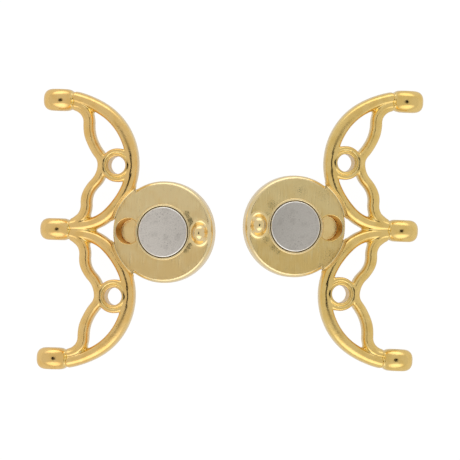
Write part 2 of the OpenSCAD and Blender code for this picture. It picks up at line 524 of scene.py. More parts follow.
GOLDS = {
    Side.LEFT: PolishedGold(
        "polished gold, left", tint=(0.96, 0.65, 0.25, 1.0), deep=(0.93, 0.6, 0.2, 1.0)),
    Side.RIGHT: PolishedGold(
        "polished gold, right", tint=(0.92, 0.66, 0.24, 1.0), deep=(0.87, 0.6, 0.19, 1.0)),
}
# the right face is darker than the left: painted shade for the dimmer light on that side; the stains are its
# own
FACES = {
    Side.LEFT: BrushedGold(
        "brushed gold face, left", tint=(0.99, 0.78, 0.41, 1.0), second_tone=(0.93, 0.67, 0.29, 1.0),
        stains=(
            Stain(2.85, 2.25, 0.6, 0.9), Stain(3.02, 1.9, 0.45, 0.85), Stain(3.24, 1.5, 0.6, 1.0),
            Stain(3.38, 1.1, 0.65, 1.0), Stain(3.46, 0.65, 0.5, 0.9), Stain(3.32, -1.4, 0.5, 0.8),
            Stain(3.12, -1.7, 0.55, 0.85), Stain(2.82, -2.1, 0.55, 0.85))),
    Side.RIGHT: BrushedGold(
        "brushed gold face, right", tint=(0.92, 0.73, 0.35, 1.0), second_tone=(0.86, 0.62, 0.23, 1.0),
        stains=(
            Stain(2.4, 2.5, 1.1, 0.62), Stain(2.0, 3.1, 0.6, 0.6), Stain(3.5, 1.7, 0.9, 0.55),
            Stain(3.0, -2.4, 1.1, 0.6), Stain(3.6, -1.4, 0.8, 0.5), Stain(-0.5, -4.3, 1.6, 0.42),
            Stain(-3.2, -4.0, 1.7, 0.42), Stain(-4.4, 3.4, 2.0, 0.46), Stain(-3.3, 4.6, 0.7, 0.6))),
}
# the right magnet is darker than the left: painted shade for the dimmer light on that side
MAGNETS = {
    Side.LEFT: MagnetGrey("grey plated magnet, left", tint=(0.84, 0.785, 0.715, 1.0)),
    Side.RIGHT: MagnetGrey("grey plated magnet, right", tint=(0.66, 0.625, 0.57, 1.0)),
}


# Making meshes


class Lathe:
    """Geometry Nodes that turn a rounded profile round the z axis."""

    LABELS = ("Inner radius", "Outer radius", "Bottom", "Top", "Inner edge", "Edge")
    FLATS = 192
    EDGE_POINTS = 5
    WELD = 0.0005

    def __init__(self) -> None:
        """Builds the tree and its inputs."""
        self.tree = bpy.data.node_groups.new("lathe", "GeometryNodeTree")
        face = self.tree.interface
        face.new_socket("Geometry", in_out="OUTPUT", socket_type="NodeSocketGeometry")
        kinds = dict.fromkeys(self.LABELS, "NodeSocketFloat") | {"Finish": "NodeSocketMaterial"}
        self.sockets = {
            label: face.new_socket(label, in_out="INPUT", socket_type=kind).identifier
            for label, kind in kinds.items()}
        self.fill()

    def fill(self) -> None:
        """Makes the nodes: a profile of four corners, rounded and swept round a circle."""
        g = Graph(self.tree)
        entry = self.tree.nodes.new("NodeGroupInput").outputs
        inner, outer, bottom, top, inner_edge, edge = (Value(g, entry[label]) for label in self.LABELS)
        profile = g.node(
            "GeometryNodeCurvePrimitiveQuadrilateral", {"Width": outer - inner, "Height": top - bottom})
        across = g.node("ShaderNodeSeparateXYZ", {0: g.node("GeometryNodeInputPosition", {})})
        outside = across.maths("GREATER_THAN", 0.0)
        bend = g.node("ShaderNodeMapRange", {"Value": outside, 3: inner_edge, 4: edge})
        rounded = g.node(
            "GeometryNodeFilletCurve", {"Curve": profile, "Radius": bend, "Count": self.EDGE_POINTS},
            mode="POLY")
        path = g.node(
            "GeometryNodeCurvePrimitiveCircle", {"Resolution": self.FLATS, "Radius": (outer + inner) * 0.5})
        ring = g.node("GeometryNodeCurveToMesh", {"Curve": path, "Profile Curve": rounded})
        level = g.node("ShaderNodeCombineXYZ", {2: (top + bottom) * 0.5})
        placed = g.node("GeometryNodeTransform", {"Geometry": ring, "Translation": level})
        merged = g.node("GeometryNodeMergeByDistance", {"Geometry": placed, "Distance": self.WELD})
        real = g.node("GeometryNodeRealizeInstances", {"Geometry": merged})
        dressed = g.node("GeometryNodeSetMaterial", {"Geometry": real, "Material": Value(g, entry["Finish"])})
        g.put(self.tree.nodes.new("NodeGroupOutput").inputs[0], dressed)

    def mesh(self, sizes: dict[str, float], finish: bpy.types.Material) -> bpy.types.Mesh:
        """Runs the tree.

        Args:
            sizes: values by the names of the inputs, in millimetres.
            finish: the material.

        Returns:
            The mesh, in millimetres.
        """
        holder = bpy.data.objects.new("lathe work", bpy.data.meshes.new("lathe work"))
        bpy.context.collection.objects.link(holder)
        modifier = holder.modifiers.new("lathe", "NODES")
        modifier.node_group = self.tree
        for label, value in {**sizes, "Finish": finish}.items():
            modifier[self.sockets[label]] = value
        seen = holder.evaluated_get(bpy.context.evaluated_depsgraph_get())
        made = bpy.data.meshes.new_from_object(seen)
        bpy.data.objects.remove(holder)
        return made


@dataclass(frozen=True)
class Shell:
    """A closed skin of quads.

    Attributes:
        points: its vertices.
        faces: the numbers of the four corners of each face.
        normals: the normal at each vertex.
    """

    points: np.ndarray
    faces: np.ndarray
    normals: np.ndarray

    def mesh(self, name: str) -> bpy.types.Mesh:
        """The skin as a mesh with smooth faces.

        Args:
            name: the mesh's name.

        Returns:
            The mesh, in the units of the points.
        """
        mesh = bpy.data.meshes.new(name)
        mesh.vertices.add(len(self.points))
        mesh.vertices.foreach_set("co", self.points.astype(np.float32).ravel())
        mesh.loops.add(self.faces.size)
        mesh.loops.foreach_set("vertex_index", self.faces.astype(np.int32).ravel())
        mesh.polygons.add(len(self.faces))
        mesh.polygons.foreach_set("loop_start", np.arange(0, self.faces.size, 4, dtype=np.int32))
        mesh.update()
        mesh.polygons.foreach_set("use_smooth", np.ones(len(self.faces), dtype=bool))
        return mesh


@dataclass(frozen=True)
class SurfaceNet:
    """Meshes a casting on a grid of cells, small round the button and larger on the wing.

    Attributes:
        fine: size of the cells on the button, and the height of those above the wall.
        coarse: their size on the wing.
        back: their height on the domed back.
        wall: their height on the upright wall.
        x_stops: where the grid starts along x, where the button starts and where both end.
        y_stops: half the width of the button's part and of the whole grid.
        z_stops: where the back, the wall and the part above it start, and where it ends.
    """

    fine: float = 0.102
    coarse: float = 0.142
    back: float = 0.3
    wall: float = 0.17
    x_stops: Triple = (-15.1, -6.3, 6.3)
    y_stops: tuple[float, float] = (6.3, 16.9)
    z_stops: tuple[float, float, float, float] = (-4.9, -2.1, -0.4, 2.2)

    @staticmethod
    def steps(stops: tuple[float, ...], sizes: tuple[float, ...]) -> np.ndarray:
        """Grid lines from stop to stop.

        Args:
            stops: where the stretches start and end.
            sizes: the size of the cells in each stretch, which is fitted to its length.

        Returns:
            The lines.
        """
        lines = [stops[0]]
        for low, high, size in zip(stops, stops[1:], sizes):
            n = max(1, round((high - low) / size))
            lines += list(np.linspace(low, high, n + 1)[1:])
        return np.array(lines)

    def lines(self) -> tuple[np.ndarray, np.ndarray, np.ndarray]:
        """The grid lines along x, y and z.

        Returns:
            The lines, in millimetres.
        """
        inner, end = self.y_stops
        xs = self.steps(self.x_stops, (self.coarse, self.fine))
        ys = self.steps((-end, -inner, inner, end), (self.coarse, self.fine, self.coarse))
        zs = self.steps(self.z_stops, (self.back, self.wall, self.fine))
        return xs, ys, zs

    @staticmethod
    def settle(grid: np.ndarray, filled: float = -0.001) -> None:
        """Fills a corner of each grid square that is crossed twice, where two sheets would share an edge.

        Args:
            grid: the signed distances at the corners, changed in place.
            filled: the distance that a filled corner gets.
        """
        found = True
        while found:
            found = False
            for u, v in ((0, 1), (0, 2), (1, 2)):
                views = []
                for du, dv in ((0, 0), (1, 0), (1, 1), (0, 1)):
                    view = [slice(None)] * 3
                    view[u] = slice(du, grid.shape[u] - 1 + du)
                    view[v] = slice(dv, grid.shape[v] - 1 + dv)
                    views.append(grid[tuple(view)])
                a, b, c, d = (view < 0 for view in views)
                for place in map(tuple, np.argwhere((a == c) & (b == d) & (a != b))):
                    outside = [view for view in views if view[place] >= 0]
                    if len(outside) == 2:
                        min(outside, key=lambda view: view[place])[place] = filled
                        found = True

    @staticmethod
    def crossings(grid: np.ndarray, lines: tuple, axis: int) -> tuple[np.ndarray, np.ndarray, np.ndarray]:
        """Where the skin crosses the grid's edges along an axis.

        Args:
            grid: the signed distances at the corners.
            lines: the grid lines along x, y and z.
            axis: the axis.

        Returns:
            The edges' numbers, the places and whether the face round each has to be turned.
        """
        low, high = [slice(None)] * 3, [slice(None)] * 3
        low[axis], high[axis] = slice(0, -1), slice(1, None)
        start, end = grid[tuple(low)], grid[tuple(high)]
        crossed = (start < 0) != (end < 0)
        index = np.argwhere(crossed)
        share = start[crossed] / (start[crossed] - end[crossed])
        place = np.stack([lines[a][index[:, a]] for a in range(3)], axis=1)
        place[:, axis] += share * (lines[axis][index[:, axis] + 1] - lines[axis][index[:, axis]])
        return index, place, (start < 0)[crossed] == (axis == 1)

    def stitch(self, grid: np.ndarray, lines: tuple) -> tuple[np.ndarray, np.ndarray]:
        """One vertex for each cell that the skin passes, and one face round each crossed edge.

        Args:
            grid: the signed distances at the corners.
            lines: the grid lines along x, y and z.

        Returns:
            The vertices and the four corners of each face.
        """
        shape = tuple(n - 1 for n in grid.shape)
        cell = np.arange(np.prod(shape)).reshape(shape)
        total, count = np.zeros(shape + (3,)), np.zeros(shape)
        quads = []
        for axis in range(3):
            index, place, turned = self.crossings(grid, lines, axis)
            others = [a for a in range(3) if a != axis]
            corners = []
            for du, dv in ((-1, -1), (0, -1), (0, 0), (-1, 0)):
                near = index.copy()
                near[:, others[0]] += du
                near[:, others[1]] += dv
                np.add.at(total, tuple(near.T), place)
                np.add.at(count, tuple(near.T), 1)
                corners.append(cell[tuple(near.T)])
            quad = np.stack(corners, axis=1)
            quad[turned] = quad[turned][:, ::-1]
            quads.append(quad)
        used = np.flatnonzero(count.ravel())
        rename = np.full(count.size, -1)
        rename[used] = np.arange(len(used))
        points = total.reshape(-1, 3)[used] / count.ravel()[used][:, None]
        return points, rename[np.concatenate(quads)]

    def build(self, casting: "Casting", rounds: int = 3, most: float = 0.06,
              least: float = 0.25) -> Shell:
        """Meshes the casting.

        Args:
            casting: the casting.
            rounds: how many times the vertices are pulled onto its skin.
            most: how far they are pulled at most in one round.
            least: the least square of the slope that a pull is divided by.

        Returns:
            The skin, with the slope of the distance as its normals.
        """
        lines = self.lines()
        x, y = np.meshgrid(lines[0], lines[1], indexing="ij")
        plan = casting.wing.plan(x, y)
        grid = np.stack([casting.distance(x, y, np.full_like(x, z), plan) for z in lines[2]], axis=2)
        self.settle(grid)
        points, faces = self.stitch(grid, lines)
        for _ in range(rounds):
            slope = casting.slope(points)
            push = casting.at(points) / np.maximum((slope**2).sum(axis=1), least)
            points = points - slope * np.clip(push, -most, most)[:, None]
        slope = casting.slope(points)
        steepness = np.maximum(np.linalg.norm(slope, axis=1), 1e-6)
        return Shell(points, faces, slope / steepness[:, None])


def lay_mesh(mesh: bpy.types.Mesh, place: Matrix, marks: dict[str, np.ndarray]) -> None:
    """Stores each vertex's own place and its marks, then lays the mesh.

    Args:
        mesh: the mesh, in the half's own frame.
        place: where the half lies.
        marks: values for each vertex, by name.
    """
    own = np.zeros(len(mesh.vertices) * 3, dtype=np.float32)
    mesh.vertices.foreach_get("co", own)
    mesh.attributes.new("own_mm", "FLOAT_VECTOR", "POINT").data.foreach_set("vector", own)
    for name, values in marks.items():
        mesh.attributes.new(name, "FLOAT", "POINT").data.foreach_set("value", values.astype(np.float32))
    mesh.transform(place)


def linked(name: str, data: bpy.types.Mesh | bpy.types.Camera) -> bpy.types.Object:
    """Makes an object and puts it in the scene.

    Args:
        name: its name.
        data: its mesh or camera.

    Returns:
        The object.
    """
    obj = bpy.data.objects.new(name, data)
    bpy.context.collection.objects.link(obj)
    return obj


# The magnet


@dataclass(frozen=True)
class Magnet:
    """The magnet: a plated disc that stands a little proud of the mating face.

    Attributes:
        radius: its radius.
        height: how deep it reaches below the face.
        bevel: radius of its rounded edge.
        rise: how far it stands proud.
    """

    radius: float = 2.98
    height: float = 2.0
    bevel: float = 0.17
    rise: float = 0.14

    def build(self, side: Side, place: Matrix, lathe: Lathe) -> bpy.types.Object:
        """Makes and dresses the magnet of one half.

        Args:
            side: the half.
            place: where it lies.
            lathe: the lathe that turns it.

        Returns:
            The object.
        """
        sizes = {
            "Inner radius": 0.0, "Outer radius": self.radius, "Inner edge": 0.0, "Edge": self.bevel,
            "Bottom": -self.height, "Top": self.rise}
        mesh = lathe.mesh(sizes, MAGNETS[side].material(self.radius))
        lay_mesh(mesh, place, {})
        magnet = linked(f"{side.value}_magnet_look", mesh)
        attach(magnet, "root")
        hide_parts(f"{side.value}_magnet")
        return magnet


# The casting


@dataclass(frozen=True)
class Button:
    """The round button: flat face, rounded rim, upright wall and domed back.

    Attributes:
        radius: its radius.
        face_edge: radius of the rounded edge of the face.
        face_crease: how steep that edge starts from the flat face, in degrees.
        wall_depth: how deep the upright wall reaches.
        back_edge: radius of the rounded edge of the back.
        dome_radius: radius of the dome.
        land_radius: radius of the flat land between the button and the wing.
        land_start: the x at which the land starts.
        cradle_radius: how close to the axis the wing comes above the face.
    """

    radius: float = 6.0
    face_edge: float = 0.62
    face_crease: float = 25.0
    wall_depth: float = 1.5
    back_edge: float = 1.8
    dome_radius: float = 9.0
    land_radius: float = 6.02
    land_start: float = -3.42
    cradle_radius: float = 6.16

    @property
    def dome_z(self) -> float:
        """Height of the middle of the domed back."""
        reach = self.dome_radius - self.back_edge
        return math.sqrt(reach**2 - (self.radius - self.back_edge) ** 2) - self.wall_depth

    @property
    def dome_angle(self) -> float:
        """Half angle of the domed back, in radians."""
        return math.asin((self.radius - self.back_edge) / (self.dome_radius - self.back_edge))

    def distance(self, radius: np.ndarray, z: np.ndarray) -> np.ndarray:
        """The signed distance from the button without its pocket, boss and recess.

        Args:
            radius: distances of the points from its axis.
            z: their z.

        Returns:
            The distances.
        """
        past = radius - (self.radius - self.face_edge)
        over = z + self.face_edge * math.cos(math.radians(self.face_crease))
        rim = np.hypot(np.maximum(past, 0.0), np.maximum(over, 0.0)) + np.minimum(np.maximum(past, over), 0.0)
        top = np.maximum(rim - self.face_edge, z)
        angle = np.arctan2(radius, self.dome_z - z)
        dome = np.hypot(radius, z - self.dome_z) - self.dome_radius
        edge = np.hypot(radius - (self.radius - self.back_edge), z + self.wall_depth) - self.back_edge
        wall = np.where(z < -self.wall_depth, edge, radius - self.radius)
        return np.maximum(top, np.where(angle < self.dome_angle, dome, wall))

    def land(self, x: np.ndarray, radius: np.ndarray, z: np.ndarray) -> np.ndarray:
        """The signed distance from the flat land on the side of the wing."""
        plan = np.maximum(radius - self.land_radius, x - self.land_start)
        return np.maximum(plan, np.maximum(z, -self.wall_depth - z))


@dataclass(frozen=True)
class Strand:
    """The section of a strand.

    Attributes:
        width: its width.
        top: the z of its crest.
        bottom: the z of its underside.
        power: how full its crowns are, with 2 for a plain round.
    """

    width: float
    top: float
    bottom: float
    power: float

    def distance(self, away: np.ndarray, z: np.ndarray, swell: np.ndarray | float = 0.0) -> np.ndarray:
        """The signed distance from the strand.

        Args:
            away: distances of the points from its middle line, in plan.
            z: their z.
            swell: how much further it reaches to each side.

        Returns:
            The distances.
        """
        crown = self.width / 2 + swell
        upright = np.maximum(np.maximum(z - self.top, self.bottom - z) + crown, 0.0)
        return full_round(away, upright, self.power) - crown

    def skewed(self, offset: np.ndarray, shift: np.ndarray) -> np.ndarray:
        """Moves the crest towards the hollow side of the bends and leaves the edges where they are.

        Args:
            offset: signed distances of the points from the middle line.
            shift: how far the crest moves.

        Returns:
            The distances to use in their place.
        """
        half = self.width / 2
        share = np.where(offset > -shift, half / (half + shift), -half / (half - shift))
        return (offset + shift) * share


@dataclass(frozen=True)
class ArcChain:
    """A smooth line of arcs in the plane of the wing.

    Attributes:
        start: reach and side as shares of the pitch, then the heading in degrees.
        arcs: rows of radius, as a share of the pitch, and angle in degrees, clockwise below zero.
    """

    start: Triple
    arcs: tuple[tuple[float, float], ...]

    def pieces(self, pitch: float) -> list[tuple[float, ...]]:
        """The arcs one by one.

        Args:
            pitch: the distance between two eyelets.

        Returns:
            For each arc its centre's x and y, radius, middle direction and half angle.
        """
        x, y, heading = self.start[0] * pitch, self.start[1] * pitch, math.radians(self.start[2])
        rows = []
        for share, degrees in self.arcs:
            r, a = share * pitch, math.radians(degrees)
            k = math.copysign(1.0, a)
            cx, cy = x - k * r * math.sin(heading), y + k * r * math.cos(heading)
            rows.append((cx, cy, r, heading + a / 2 - k * math.pi / 2, abs(a) / 2))
            heading += a
            x, y = cx + k * r * math.sin(heading), cy - k * r * math.cos(heading)
        return rows

    def offset(self, x: np.ndarray, y: np.ndarray, pitch: float) -> np.ndarray:
        """The distance of points from the chain, below zero on the hollow side of its bends.

        Args:
            x: their x.
            y: their y.
            pitch: the distance between two eyelets.

        Returns:
            The signed distances.
        """
        best = np.full(np.broadcast(x, y).shape, np.inf)
        for cx, cy, r, middle, half in self.pieces(pitch):
            vx, vy = x - cx, y - cy
            turn = np.arctan2(vy, vx) - middle
            turn = (turn + np.pi) % (2 * np.pi) - np.pi
            turn = np.clip(turn, -half, half) + middle
            away = np.hypot(vx - r * np.cos(turn), vy - r * np.sin(turn))
            away = np.where(np.hypot(vx, vy) < r, -away, away)
            best = np.where(np.abs(away) < np.abs(best), away, best)
        return best

    def both(self, x: np.ndarray, y: np.ndarray, pitch: float) -> tuple[np.ndarray, np.ndarray]:
        """The signed distances from the chain and from its mirror image across the wing."""
        return self.offset(x, y, pitch), self.offset(x, -y, pitch)


@dataclass(frozen=True)
class WingPlan:
    """The wing in plan at some points. Each pair is for the upper and the lower strand.

    Attributes:
        outer: signed distances from the middle lines of the outer strands.
        wavy: distances from the middle lines of the wavy strands.
        ridge: distances from the ridges that run along the wavy strands.
        lean: how far the crests of the outer strands lean to their hollow side.
        swell: how much fuller the wavy strands are there.
        outline: signed distance from the outline of all strands.
    """

    outer: tuple[np.ndarray, np.ndarray]
    wavy: tuple[np.ndarray, np.ndarray]
    ridge: tuple[np.ndarray, np.ndarray]
    lean: np.ndarray
    swell: np.ndarray
    outline: np.ndarray


@dataclass(frozen=True)
class Wing:
    """The openwork wing: strands, rings and eyelets.

    Attributes:
        pitch: distance between two eyelets.
        outer, wavy, ridge: sections of the outer strands, the wavy ones and the ridge on top of those.
        outer_line, wavy_line: their middle lines.
        ridge_shift: how far the ridge lies beside the middle of its strand, towards the button.
        ridge_groove: fillet between the ridge and its strand.
        crest_fillet: fillet where the two ridges meet.
        lean, lean_more: how far the outer crests lean everywhere, and how much more near their bends.
        lean_y, lean_x: over which stretches the lean grows.
        web_drop: how far the web in the corners lies below the wavy strands.
        web_fillet: fillet between the web and the strands.
        belly, belly_stretch: how much fuller the wavy strands are between their ends, and from where.
        neck_width, neck_reach: the neck behind the middle eyelet.
        joint_fillet, fork_fillet, strand_fillet: fillets between strands.
        neck_fillet, neck_stretch: how much wider the joint's fillet is on the neck, and on what stretch.
        ring_reach, ring_side: where the rings' middles lie.
        ring_hole: radius of their holes.
        ring_lip, ring_bead: half the widths of the lip round the hole and of the bead round the lip.
        ring_groove, ring_fillet, ring_edge: fillets between lip and bead and round the ring, and its edge.
        ring_top, lip_top, ring_bottom: heights of the bead's crest, the lip's crest and the underside.
        eyelet_reach: how far the eyelets' line lies from the magnet's axis.
        eyelet_radius, eyelet_crown: radius of an eyelet and of its rounding.
        eyelet_power, eyelet_fuller, eyelet_top: how full it is, how much more below its top, and from where.
        eyelet_hole, eyelet_hole_edge: radius of its hole and the rounding at its ends.
        eyelet_crease, crease_width, crease_edge: depth, width and sharpness of the crease beside it.
    """

    pitch: float = PITCH
    outer: Strand = Strand(width=1.42, top=1.2, bottom=-1.0, power=1.95)
    wavy: Strand = Strand(width=1.18, top=0.95, bottom=-0.8, power=2.0)
    ridge: Strand = Strand(width=0.74, top=1.14, bottom=0.0, power=1.6)
    outer_line: ArcChain = ArcChain(
        start=(-0.758, 1.0255, -8.25),
        arcs=(
            (0.718, -23.0), (0.479, -25.5), (0.511, -29.5), (0.458, -32.0), (0.664, -18.0),
            (0.316, -32.5), (0.810, -11.5)))
    wavy_line: ArcChain = ArcChain(
        start=(-0.7475, 0.9638, 5.4),
        arcs=(
            (0.134, -97.0), (0.354, 42.0), (0.126, -42.5), (0.211, -42.5), (0.204, 49.0),
            (0.157, -91.5)))
    ridge_shift: float = 0.19
    ridge_groove: float = 0.3
    crest_fillet: float = 0.1
    lean: float = 0.08
    lean_more: float = 0.24
    lean_y: tuple[float, float] = (8.5, 11.0)
    lean_x: tuple[float, float] = (-9.5, -6.5)
    web_drop: float = 0.28
    web_fillet: float = 0.2
    belly: float = 0.12
    belly_stretch: tuple[float, float] = (2.0, 3.8)
    neck_width: float = 1.7
    neck_reach: float = 10.8
    joint_fillet: float = 0.42
    fork_fillet: float = 0.6
    strand_fillet: float = 0.15
    neck_fillet: float = 0.8
    neck_stretch: tuple[float, float, float, float] = (-11.3, -10.4, -9.8, -8.0)
    ring_reach: float = 0.363 * PITCH
    ring_side: float = 0.506 * PITCH
    ring_hole: float = 1.03
    ring_bead: float = 0.28
    ring_lip: float = 0.2
    ring_groove: float = 0.12
    ring_fillet: float = 0.18
    ring_edge: float = 0.08
    ring_top: float = 1.14
    lip_top: float = 1.26
    ring_bottom: float = -0.9
    eyelet_reach: float = 0.843 * PITCH
    eyelet_radius: float = 1.95
    eyelet_crown: float = 1.3
    eyelet_power: float = 2.08
    eyelet_fuller: float = 0.5
    eyelet_top: tuple[float, float] = (1.7, 0.8)
    eyelet_hole: float = 0.8
    eyelet_hole_edge: float = 0.12
    eyelet_crease: float = 0.13
    crease_width: float = 0.34
    crease_edge: float = 0.05

    def plan(self, x: np.ndarray, y: np.ndarray) -> WingPlan:
        """The wing in plan.

        Args:
            x: where, along the wing.
            y: where, across the wing.

        Returns:
            The distances from its lines and from the outline of its strands.
        """
        far, full, waning, near = self.neck_stretch
        fillet = self.joint_fillet + self.neck_fillet * ramp(x, near, waning) * ramp(x, far, full)
        along = np.clip(x, -self.eyelet_reach, -self.neck_reach)
        swell = self.belly * ramp(np.abs(np.abs(y) - self.pitch / 2), *self.belly_stretch) / 2
        outer = self.outer_line.both(x, y, self.pitch)
        wavy = tuple(map(np.abs, self.wavy_line.both(x + swell, y, self.pitch)))
        ridge = tuple(map(np.abs, self.wavy_line.both(x - self.ridge_shift, y, self.pitch)))
        lean = self.lean + self.lean_more * ramp(np.abs(y), *self.lean_y) * ramp(x, *self.lean_x)
        outer_edge = soft_min(np.abs(outer[0]), np.abs(outer[1]), self.fork_fillet) - self.outer.width / 2
        wavy_edge = soft_min(*wavy, fillet) - self.wavy.width / 2
        neck = np.hypot(x - along, y) - self.neck_width / 2
        outline = soft_min(soft_min(outer_edge, wavy_edge, fillet), neck, fillet)
        return WingPlan(outer, wavy, ridge, lean, swell, outline)

    def strands(self, z: np.ndarray, plan: WingPlan) -> np.ndarray:
        """The strands, each with a crown of its own, over a lower web that fills the corners.

        Args:
            z: the points' z.
            plan: the wing in plan there.

        Returns:
            The signed distances.
        """
        outer = [self.outer.distance(self.outer.skewed(away, plan.lean), z) for away in plan.outer]
        wavy = [self.wavy.distance(away, z, plan.swell) for away in plan.wavy]
        ridge = [self.ridge.distance(away, z) for away in plan.ridge]
        ridges = soft_min(*ridge, self.crest_fillet)
        ridged = soft_min(soft_min(*wavy, self.strand_fillet), ridges, self.ridge_groove)
        crown = self.wavy.width / 2
        upright = np.maximum(z - self.wavy.top + self.web_drop, self.wavy.bottom - z) + crown
        web = np.hypot(np.maximum(plan.outline + crown, 0.0), np.maximum(upright, 0.0)) - crown
        both = soft_min(soft_min(*outer, self.strand_fillet), ridged, self.strand_fillet)
        return soft_min(both, web, self.web_fillet)

    def rings(self, x: np.ndarray, y: np.ndarray, z: np.ndarray) -> tuple[np.ndarray, np.ndarray]:
        """The two rings, each a lip round its hole and a lower bead round the lip.

        Args:
            x: the points' x.
            y: their y.
            z: their z.

        Returns:
            The signed distances from the rings and the distances from the nearer one's axis.
        """
        radius = np.hypot(x + self.ring_reach, np.abs(y) - self.ring_side)
        turned = []
        start = self.ring_hole
        for half, top in ((self.ring_lip, self.lip_top), (self.ring_bead, self.ring_top)):
            upright = np.maximum(np.maximum(z - top, self.ring_bottom - z) + half, 0.0)
            turned.append(np.hypot(radius - (start + half), upright) - half)
            start += 2 * half
        return soft_min(*turned, self.ring_groove), radius

    def eyelets(self, x: np.ndarray, y: np.ndarray, z: np.ndarray) -> tuple[np.ndarray, np.ndarray]:
        """The three eyelets, each a round bead.

        Args:
            x: the points' x.
            y: their y.
            z: their z.

        Returns:
            The signed distances from the beads and the distances from the line of their holes.
        """
        row = np.clip(np.round(y / self.pitch), -1, 1) * self.pitch
        radius = np.hypot(x + self.eyelet_reach, z)
        core = self.eyelet_radius - self.eyelet_crown
        power = self.eyelet_power + self.eyelet_fuller * ramp(z, *self.eyelet_top)
        return full_round(np.maximum(radius - core, 0.0), y - row, power) - self.eyelet_crown, radius

    def distance(self, x: np.ndarray, y: np.ndarray, z: np.ndarray, plan: WingPlan) -> np.ndarray:
        """The signed distance from the wing, with its holes open and a crease round each eyelet.

        Args:
            x: the points' x.
            y: their y.
            z: their z.
            plan: the wing in plan there.

        Returns:
            The distances.
        """
        ring, ring_radius = self.rings(x, y, z)
        eyelet, eyelet_radius = self.eyelets(x, y, z)
        wing = soft_min(self.strands(z, plan), ring, self.ring_fillet)
        wing = soft_max(wing, self.ring_hole - ring_radius, self.ring_edge)
        crease = self.eyelet_crease * ramp(eyelet, self.crease_width, 0.0)
        wing = soft_min(wing + crease, eyelet, self.crease_edge)
        return soft_max(wing, self.eyelet_hole - eyelet_radius, self.eyelet_hole_edge)


@dataclass(frozen=True)
class Seat:
    """What the mating face holds: the magnet's pocket with its collar, the boss and the recess.

    Attributes:
        magnet: the magnet.
        glue_gap: the gap round the magnet and below it.
        collar_width, collar_height, collar_edge: width of the collar, its rise and its rounding.
        collar_foot: how deep the collar reaches.
        recess_reach, recess_radius: where the recess's round wall has its axis, and its radius.
        recess_inner: distance of its straight side, an arc, from the magnet's axis.
        recess_corner, recess_edge: rounding of its corners and of its edge.
        recess_depth, recess_slant: its depth, and how far its wall leans for each millimetre of it.
        boss_inner, boss_outer, boss_side: how far the boss reaches from the axis, and to each side.
        boss_height, boss_foot, boss_fillet: its height, how deep its foot reaches, and its fillet.
    """

    magnet: Magnet = Magnet()
    glue_gap: float = 0.09
    collar_width: float = 0.26
    collar_height: float = 0.08
    collar_edge: float = 0.12
    collar_foot: float = 0.5
    recess_reach: float = 4.24
    recess_radius: float = 1.48
    recess_inner: float = 3.44
    recess_corner: float = 0.14
    recess_edge: float = 0.1
    recess_depth: float = 1.9
    recess_slant: float = 0.11
    boss_inner: float = 3.6
    boss_outer: float = 5.46
    boss_side: float = 1.2
    boss_height: float = 1.36
    boss_foot: float = 0.5
    boss_fillet: float = 0.6

    @property
    def pocket_radius(self) -> float:
        """Radius of the pocket."""
        return self.magnet.radius + self.glue_gap

    @property
    def collar_radius(self) -> float:
        """Radius of the collar round the pocket."""
        return self.pocket_radius + self.collar_width

    def boss(self, x: np.ndarray, y: np.ndarray, z: np.ndarray) -> np.ndarray:
        """The signed distance from the boss, an egg-shaped dome with its foot in the button.

        Args:
            x: the points' x.
            y: their y.
            z: their z.

        Returns:
            The distances.
        """
        middle = (self.boss_inner + self.boss_outer) / 2
        half = (self.boss_outer - self.boss_inner) / 2
        shares = ((x - middle) / half, y / self.boss_side, z / self.boss_height)
        dome = np.sqrt(sum(share**2 for share in shares)) * half - half
        return np.maximum(dome, -self.boss_foot - z)

    def recess(self, x: np.ndarray, y: np.ndarray, z: np.ndarray) -> np.ndarray:
        """The signed distance from the hollow of the recess, D-shaped with a wall that leans a little.

        Args:
            x: the points' x.
            y: their y.
            z: their z.

        Returns:
            The distances.
        """
        lean = self.recess_slant * np.minimum(z, 0.0)
        wall = np.hypot(x + self.recess_reach + lean, y) - self.recess_radius
        plan = soft_max(wall, self.recess_inner - np.hypot(x, y), self.recess_corner)
        return np.maximum(plan, -self.recess_depth - z)

    def pocket(self, radius: np.ndarray, z: np.ndarray) -> np.ndarray:
        """The signed distance from the hollow of the pocket, whose wall lies inside the collar."""
        bottom = self.magnet.height + self.glue_gap
        return np.maximum(radius - self.pocket_radius - self.collar_width / 2, -bottom - z)

    def collar(self, lathe: Lathe, finish: bpy.types.Material) -> bpy.types.Mesh:
        """The collar, turned on the lathe."""
        return lathe.mesh({
            "Inner radius": self.pocket_radius, "Outer radius": self.collar_radius,
            "Inner edge": self.collar_edge, "Edge": self.collar_edge,
            "Bottom": -self.collar_foot, "Top": self.collar_height}, finish)


